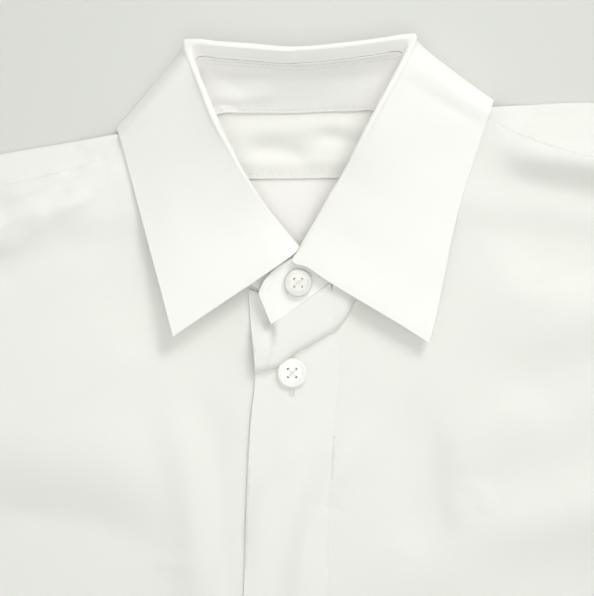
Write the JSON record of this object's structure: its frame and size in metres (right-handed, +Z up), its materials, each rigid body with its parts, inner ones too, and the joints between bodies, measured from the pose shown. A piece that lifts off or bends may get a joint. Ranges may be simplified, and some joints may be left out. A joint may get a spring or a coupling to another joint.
{
  "type": "collared shirt",
  "caption": "Crumpled dress shirt lying flat on its back, with a buttoned turn-down collar, an overlapped button front, a yoke over the shoulders, and long sleeves with buttoned cuffs.",
  "frame": {"origin": "on the surface that the shirt lies on, under the middle of its back, 0.08 m below the back neck seam", "axes": "+X towards the wearer's left, +Y towards the collar, +Z up from the surface"},
  "size_m": [1.422, 0.7822, 0.0282],
  "materials": {
    "cotton": "matt white woven cotton",
    "pearl": "polished, with a faint pearl sheen"
  },
  "bodies": {
    "root": {"back": "cotton", "yoke": "cotton", "front_right": "cotton", "front_left": "cotton", "placket": "cotton", "collar_stand": "cotton", "collar_leaf": "cotton", "sleeve_right": "cotton", "sleeve_left": "cotton", "cuff_right": "cotton", "cuff_left": "cotton", "button_collar": "pearl", "button_front_1": "pearl", "button_front_2": "pearl", "button_front_3": "pearl", "button_front_4": "pearl", "button_front_5": "pearl", "button_cuff_right": "pearl", "button_cuff_left": "pearl"}
  },
  "joints": []
}
